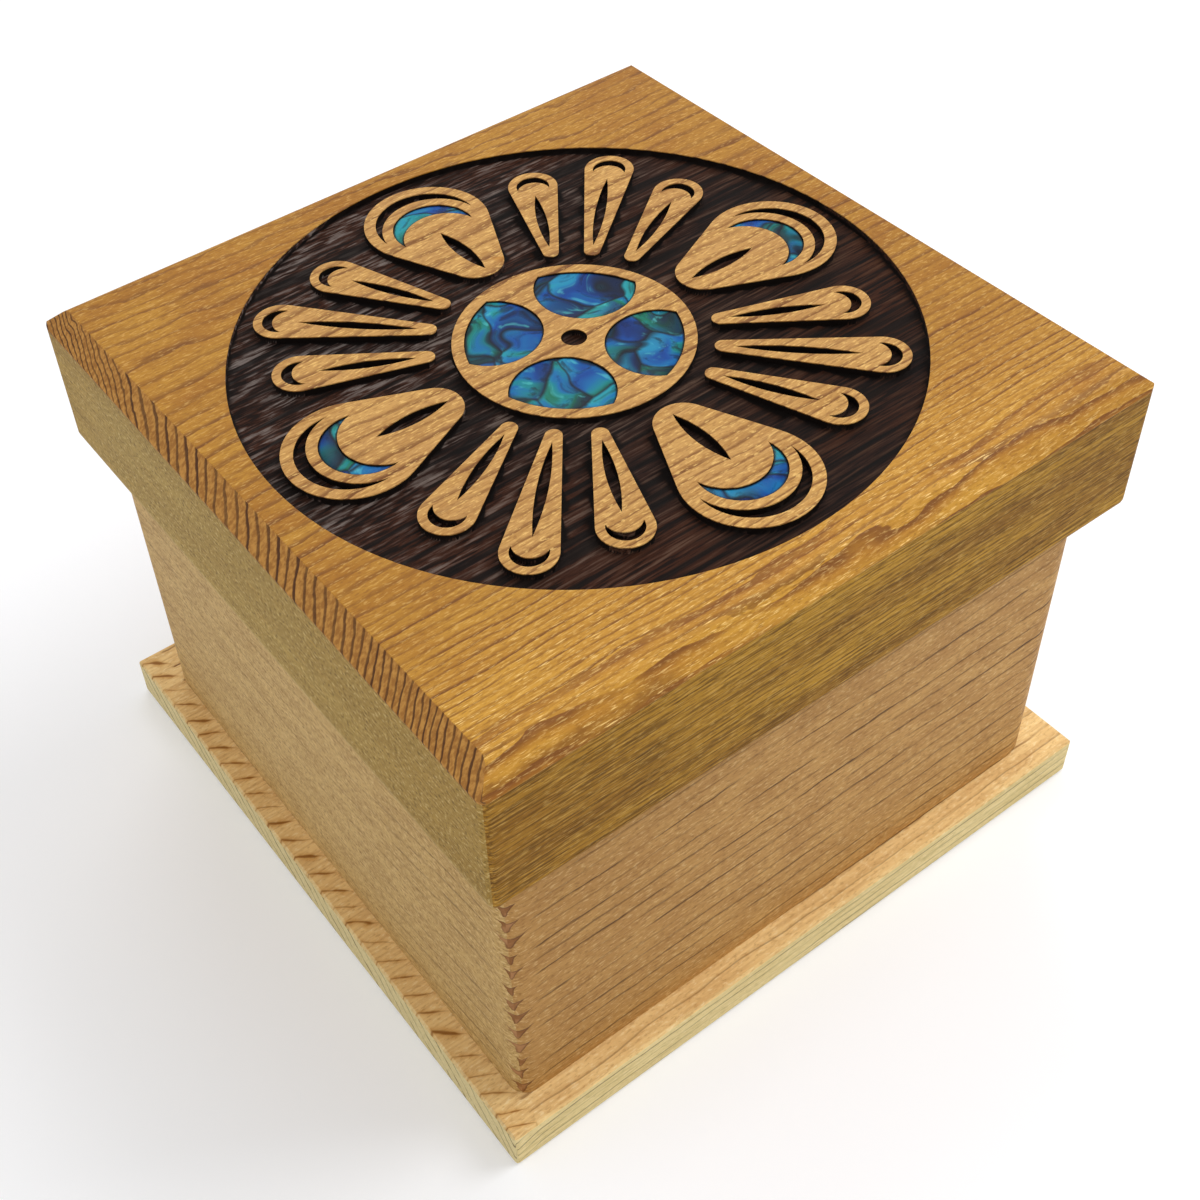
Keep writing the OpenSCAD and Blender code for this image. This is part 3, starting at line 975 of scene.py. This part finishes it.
def top_edge(edge, axis):
    """True for an outer edge of the top that keeps its place on an axis, 0 for X and 1 for Y."""
    ends = [v.co for v in edge.verts]
    middle = (ends[0] + ends[1]) / 2
    outside = max(abs(middle.x), abs(middle.y)) > MEDALLION_R + MARGIN
    on_top = min(e.z for e in ends) > TOP_Z - WELD
    return outside and on_top and abs(ends[0][axis] - ends[1][axis]) < WELD


ground = sliced(shape, ground, RIDGE_COLUMNS, RIDGE_ROWS)
mark = shape.verts.layers.float.new("ground")
for face in ground:
    for vert in face.verts:
        vert[mark] = 1.0
ease(shape, LONG_EASE, lambda edge: top_edge(edge, 1))
ease(shape, END_EASE, lambda edge: top_edge(edge, 0))
carved_top = finished(shape, "carved_top", top_cedar)

kit, (board, tall, wide, long, seed, coat) = grown("burnt_ridges", {
    "Height": "Float", "Width": "Float", "Length": "Float", "Seed": "Float", "Wood": "Material"})
x, y, z = kit.node("GeometryNodeInputPosition").split()
rough_at = kit.vector(x / long, y / wide, z)
ridge = kit.node("ShaderNodeTexNoise", {"Vector": rough_at, "W": seed, "Scale": 1.0, "Detail": 3.0},
                 noise_dimensions="4D")
on_ground = kit.node("GeometryNodeInputNamedAttribute", {"Name": "ground"}, data_type="FLOAT")
lift = (ridge - 0.5) * tall * on_ground
board = kit.node("GeometryNodeSetPosition", {"Geometry": board, "Offset": kit.vector(0.0, 0.0, lift)})
board = kit.node("GeometryNodeRealizeInstances", {0: board})
board = kit.node("GeometryNodeSetMaterial", {"Geometry": board, "Material": coat})
kit.node("NodeGroupOutput", {0: board})
settle(carved_top, kit, {"Height": RIDGE_HEIGHT, "Width": RIDGE_WIDTH, "Length": RIDGE_LENGTH,
                         "Seed": RIDGE_SEED, "Wood": top_cedar})
dressed(carved_top, "lid_board", "lid")

# %% [markdown]
# The inlays are abalone shell, polished almost flush. Nacre grows in folded layers, so its blue and
# green fields end at dark seams. Noise bends the coordinates first, and the fields, seams and
# clouds are drawn on the bent ones. Each piece is pillowed a little, as polishing leaves it.

# %% Shell inlays
SHELL_CELL = 0.6 * MM
PILLOW_DROP = 0.16 * MM
PILLOW_WIDTH = 1.6 * MM
SHELL_FOLD = 9 * MM


def shell_look(kit):
    x, y, z = kit.node("ShaderNodeTexCoord", out="Object").split()
    flat = kit.vector(x / SHELL_FOLD, y / SHELL_FOLD, 0.0)
    drift = kit.node("ShaderNodeTexNoise", {"Vector": flat, "Scale": 0.8, "Detail": 1.0}, 1)
    bent = kit.node("ShaderNodeVectorMath", {0: drift, 1: (2.0, 2.0, 0.0), 2: flat},
                    operation="MULTIPLY_ADD")
    fold = {"Vector": bent, "Scale": 1.0}
    seam = kit.node("ShaderNodeTexVoronoi", fold, feature="DISTANCE_TO_EDGE")
    middle = kit.node("ShaderNodeTexVoronoi", fold, "Position")
    own_hue = kit.node("ShaderNodeTexVoronoi", fold, "Color").split()[0]
    offset = kit.node("ShaderNodeVectorMath", {0: bent, 1: middle}, operation="SUBTRACT").split()
    tilt = offset[0] * 0.6 - offset[1] * 0.8
    field = kit.node("ShaderNodeTexNoise", {"Vector": bent, "Scale": 1.1, "Detail": 3.0})
    cloud = kit.node("ShaderNodeTexNoise", {"Vector": bent, "Scale": 3.0, "Detail": 5.0})
    hue = own_hue * 0.5 + field.step(0.3, 0.7) * 0.5
    colour = kit.node("ShaderNodeValToRGB", {0: hue}, stops=[
        (0.12, paint(5, 36, 98)), (0.3, paint(6, 66, 142)), (0.46, paint(12, 98, 156)),
        (0.6, paint(14, 124, 132)), (0.74, paint(12, 104, 76)), (0.9, paint(24, 74, 108))])
    # Painted shade and painted light: each field is darker on one side and paler on the other, the same
    # way in every field.
    colour = (tilt.step(0.0, 0.5) * 0.85).mix(colour, paint(3, 14, 36))
    colour = (tilt.step(-0.1, -0.5) * 0.4).mix(colour, paint(48, 168, 186))
    # Painted sheen: pale turquoise clouds.
    colour = (cloud.step(0.58, 0.7) * 0.4).mix(colour, paint(96, 206, 206))
    colour = (cloud.step(0.48, 0.34) * 0.7).mix(colour, paint(3, 16, 34))
    colour = (seam.step(0.07, 0.0) * 0.85).mix(colour, paint(5, 12, 24))
    border = kit.node("ShaderNodeAttribute", out="Fac", attribute_name="border")
    colour = (border.step(0.72, 0.95) * 0.85).mix(colour, paint(12, 16, 22))
    rough = 0.22 + 0.12 * cloud
    return skin(colour, rough, cloud, 0.03 * MM, {"Specular IOR Level": 0.1})


def inlaid(node, name):
    """A shell piece whose polished face falls away a little towards its outline."""
    shape = welded(node)
    border = shape.verts.layers.float.new("border")
    high = max(v.co.z for v in shape.verts)
    faces = [f for f in shape.faces if f.normal.z > SQUARE]
    faces = sliced(shape, faces, SHELL_CELL, SHELL_CELL)
    inside = set(faces)
    verts = {v for f in faces for v in f.verts}
    rim = [v for v in verts if not set(v.link_faces) <= inside]
    outline = kdtree.KDTree(len(rim))
    for i, vert in enumerate(rim):
        outline.insert(vert.co, i)
    outline.balance()
    drops = {v: max(0.0, 1.0 - outline.find(v.co)[2] / PILLOW_WIDTH) for v in verts}
    for vert, share in drops.items():
        vert.co.z = high - PILLOW_DROP * share * share
        vert[border] = share
    return finished(shape, name, abalone)


abalone = surface("abalone", shell_look)
for kind in ("petal", "crescent"):
    for i in range(1, 5):
        node = f"shell_{kind}_{i}"
        dressed(inlaid(node, f"abalone_{kind}_{i}"), node, "lid")
